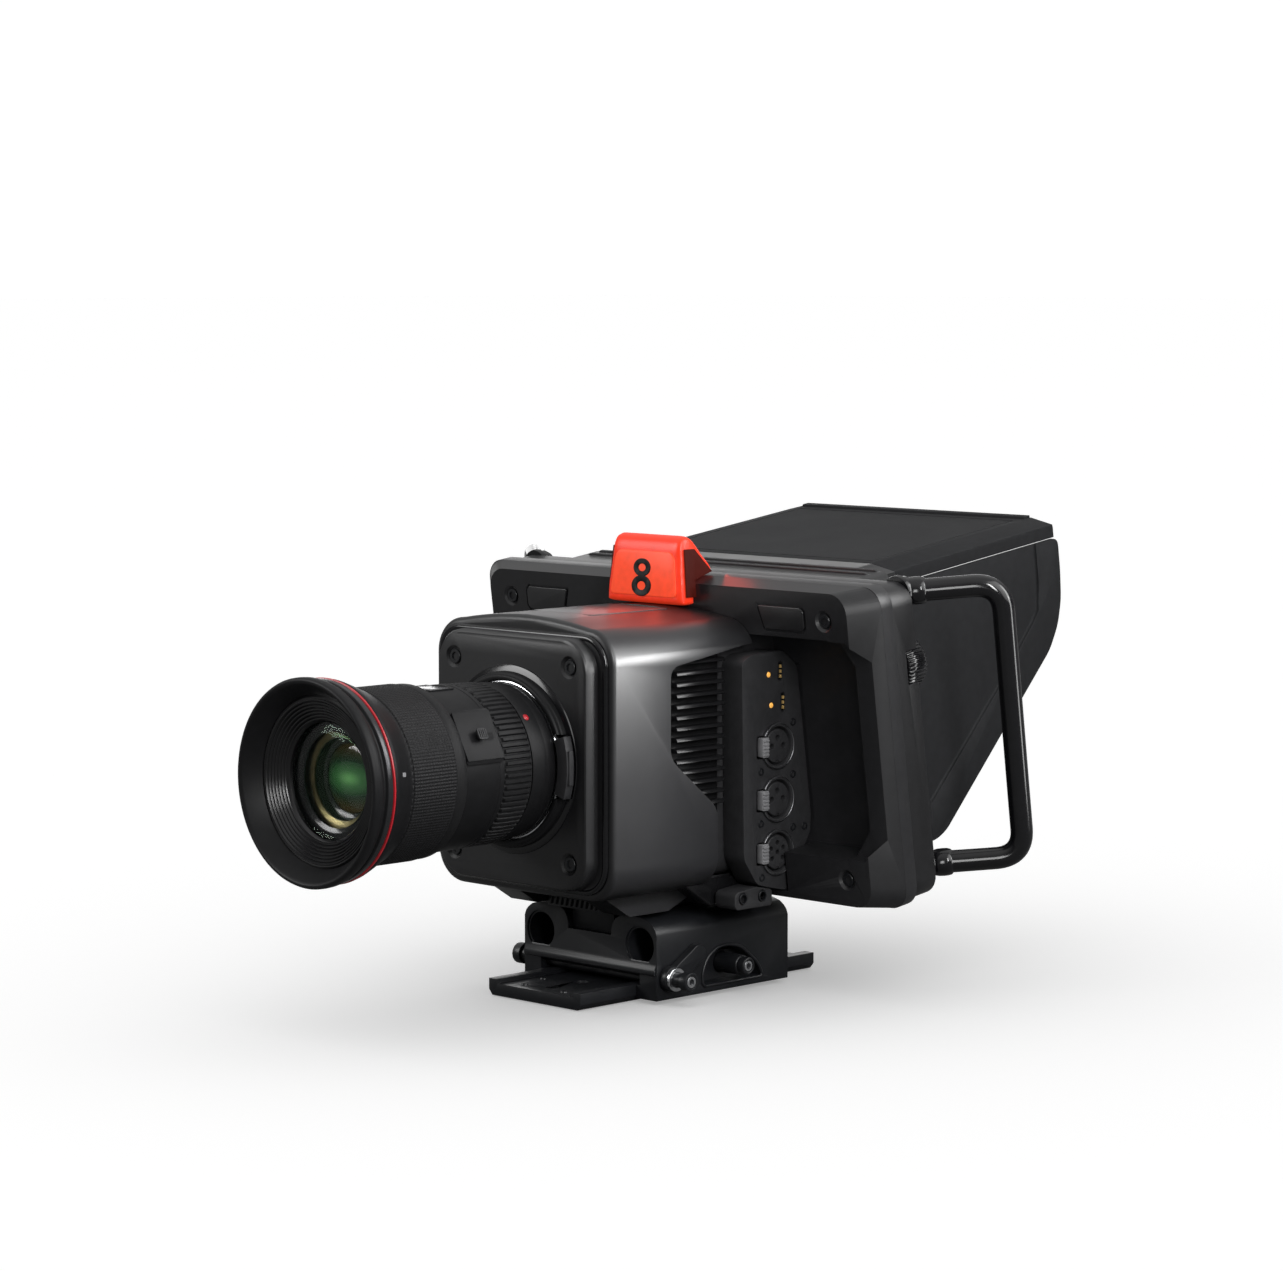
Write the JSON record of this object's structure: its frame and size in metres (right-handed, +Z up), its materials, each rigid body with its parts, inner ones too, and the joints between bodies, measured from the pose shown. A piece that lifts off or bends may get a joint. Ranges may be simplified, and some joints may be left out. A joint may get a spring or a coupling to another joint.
{
  "type": "cinema camera rig",
  "caption": "Box camera with wide zoom lens, tilted rear monitor under a folding sun hood, side handles, tally lamp and a rod block on a dovetail tray.",
  "frame": {"origin": "middle of the tray's bottom face", "axes": "+Z up, -Y along the lens, +X towards the side with the connector panel"},
  "size_m": [0.2908, 0.3721, 0.1963],
  "materials": {
    "satin_body": "satin, fine glass-filled moulding",
    "panel_plastic": "matte, finely spark-eroded",
    "hood_plastic": "matte, fine grain",
    "anodised": "black anodised, bead blasted",
    "bright_steel": "turned steel",
    "gloss_tube": "gloss black powder coat",
    "grip_rubber": "ribbed rubber",
    "soft_pad": "smooth rubber",
    "lens_barrel": "fine matte barrel finish",
    "accent_red": "satin enamel",
    "tally_lens": "lit translucent red",
    "tally_smoke": "smoked translucent",
    "coated_glass": "multi-coated glass",
    "screen_glass": "dark display glass",
    "window_glass": "clear window over a grey scale",
    "circuit": "solder mask",
    "tab_plastic": "grey moulded plastic"
  },
  "bodies": {
    "tray": {"tray_plate": "anodised"},
    "rig": {"rod_block": "anodised", "neck_riser": "anodised", "body_shell": "satin_body", "core_chassis": "panel_plastic", "front_plate": "satin_body", "mount_collar": "lens_barrel", "vent_grille_right": "satin_body", "vent_grille_left": "satin_body", "top_hatch": "satin_body", "sensor_block": "anodised", "main_board": "circuit", "fan_frame": "panel_plastic", "lens_rim": "lens_barrel", "accent_ring": "accent_red", "front_barrel": "lens_barrel", "switch_barrel": "lens_barrel", "distance_window": "window_glass", "lens_core": "lens_barrel", "mount_ring": "bright_steel", "front_cone": "lens_barrel", "front_glass": "coated_glass", "port_panel": "panel_plastic", "xlr_socket_1": "panel_plastic", "xlr_socket_2": "panel_plastic", "xlr_socket_3": "panel_plastic", "jack_plate": "panel_plastic", "left_port_panel": "panel_plastic", "housing_front": "satin_body", "housing_rear": "satin_body", "pad_right": "soft_pad", "pad_left": "soft_pad", "handle_right": "gloss_tube", "handle_left": "gloss_tube", "screen": "screen_glass", "hood_hinge_pin": "bright_steel", "tally_body": "tally_lens", "tally_side_right": "tally_smoke", "tally_side_left": "tally_smoke"},
    "clamp": {"clamp_shaft": "anodised", "clamp_lever": "anodised", "clamp_cap_screw": "bright_steel"},
    "plunger": {"release_plunger": "anodised", "release_cap_screw": "bright_steel"},
    "focus": {"focus_ring": "grip_rubber"},
    "zoom": {"zoom_ring": "grip_rubber"},
    "mode_switch": {"focus_mode_switch": "panel_plastic"},
    "release_button": {"lens_release": "panel_plastic"},
    "fan": {"fan_rotor": "panel_plastic"},
    "tab_upper": {"xlr_tab_1": "tab_plastic"},
    "tab_middle": {"xlr_tab_2": "tab_plastic"},
    "tab_lower": {"xlr_tab_3": "tab_plastic"},
    "right_knob": {"knob_right": "grip_rubber"},
    "left_knob": {"knob_left": "grip_rubber"},
    "upper_button": {"function_button_1": "soft_pad"},
    "lower_button": {"function_button_2": "soft_pad"},
    "top_flap": {"hood_top": "hood_plastic"},
    "right_flap": {"hood_right": "hood_plastic"},
    "left_flap": {"hood_left": "hood_plastic"}
  },
  "joints": [
    {"name": "rig_slide", "type": "slide", "parent": "tray", "child": "rig", "axis": [0, 1, 0], "range_m": [-0.025, 0.025]},
    {"name": "clamp_lever_turn", "type": "hinge", "parent": "rig", "child": "clamp", "pos_m": [0.042, -0.0325, 0.0104], "axis": [1, 0, 0], "range_deg": [0, 75]},
    {"name": "release_press", "type": "slide", "parent": "rig", "child": "plunger", "axis": [-1, 0, 0], "range_m": [0, 0.0018], "stiffness_N_per_m": 900},
    {"name": "focus_turn", "type": "hinge", "parent": "rig", "child": "focus", "pos_m": [0, -0.157, 0.1042], "axis": [0, 1, 0], "range_deg": [-60, 60]},
    {"name": "zoom_turn", "type": "hinge", "parent": "rig", "child": "zoom", "pos_m": [0, -0.112, 0.1042], "axis": [0, 1, 0], "range_deg": [-30, 30]},
    {"name": "mode_switch_slide", "type": "slide", "parent": "rig", "child": "mode_switch", "axis": [0, 1, 0], "range_m": [-0.0012, 0.0012]},
    {"name": "lens_release_press", "type": "slide", "parent": "rig", "child": "release_button", "axis": [0, 1, 0], "range_m": [0, 0.0014], "stiffness_N_per_m": 600},
    {"name": "fan_spin", "type": "hinge", "parent": "rig", "child": "fan", "pos_m": [0.035, -0.0225, 0.112], "axis": [1, 0, 0], "continuous": true},
    {"name": "xlr_tab_upper_press", "type": "slide", "parent": "rig", "child": "tab_upper", "axis": [-1, 0, 0], "range_m": [0, 0.0015], "stiffness_N_per_m": 500},
    {"name": "xlr_tab_middle_press", "type": "slide", "parent": "rig", "child": "tab_middle", "axis": [-1, 0, 0], "range_m": [0, 0.0015], "stiffness_N_per_m": 500},
    {"name": "xlr_tab_lower_press", "type": "slide", "parent": "rig", "child": "tab_lower", "axis": [-1, 0, 0], "range_m": [0, 0.0015], "stiffness_N_per_m": 500},
    {"name": "right_knob_turn", "type": "hinge", "parent": "rig", "child": "right_knob", "pos_m": [0.107, 0.03714, 0.14307], "axis": [0, 0.9904, 0.1385], "continuous": true},
    {"name": "left_knob_turn", "type": "hinge", "parent": "rig", "child": "left_knob", "pos_m": [-0.107, 0.03714, 0.14307], "axis": [0, 0.9904, 0.1385], "continuous": true},
    {"name": "upper_button_press", "type": "slide", "parent": "rig", "child": "upper_button", "axis": [0, -0.9904, -0.1385], "range_m": [0, 0.0008], "stiffness_N_per_m": 400},
    {"name": "lower_button_press", "type": "slide", "parent": "rig", "child": "lower_button", "axis": [0, -0.9904, -0.1385], "range_m": [0, 0.0008], "stiffness_N_per_m": 400},
    {"name": "hood_top_fold", "type": "hinge", "parent": "rig", "child": "top_flap", "pos_m": [0, 0.06679, 0.1765], "axis": [-1, 0, 0], "range_deg": [0, 90]},
    {"name": "hood_right_fold", "type": "hinge", "parent": "rig", "child": "right_flap", "pos_m": [0.081, 0.05444, 0.11317], "axis": [0, -0.1385, 0.9904], "range_deg": [0, 90]},
    {"name": "hood_left_fold", "type": "hinge", "parent": "rig", "child": "left_flap", "pos_m": [-0.081, 0.05741, 0.11359], "axis": [0, 0.1385, -0.9904], "range_deg": [0, 90]}
  ]
}
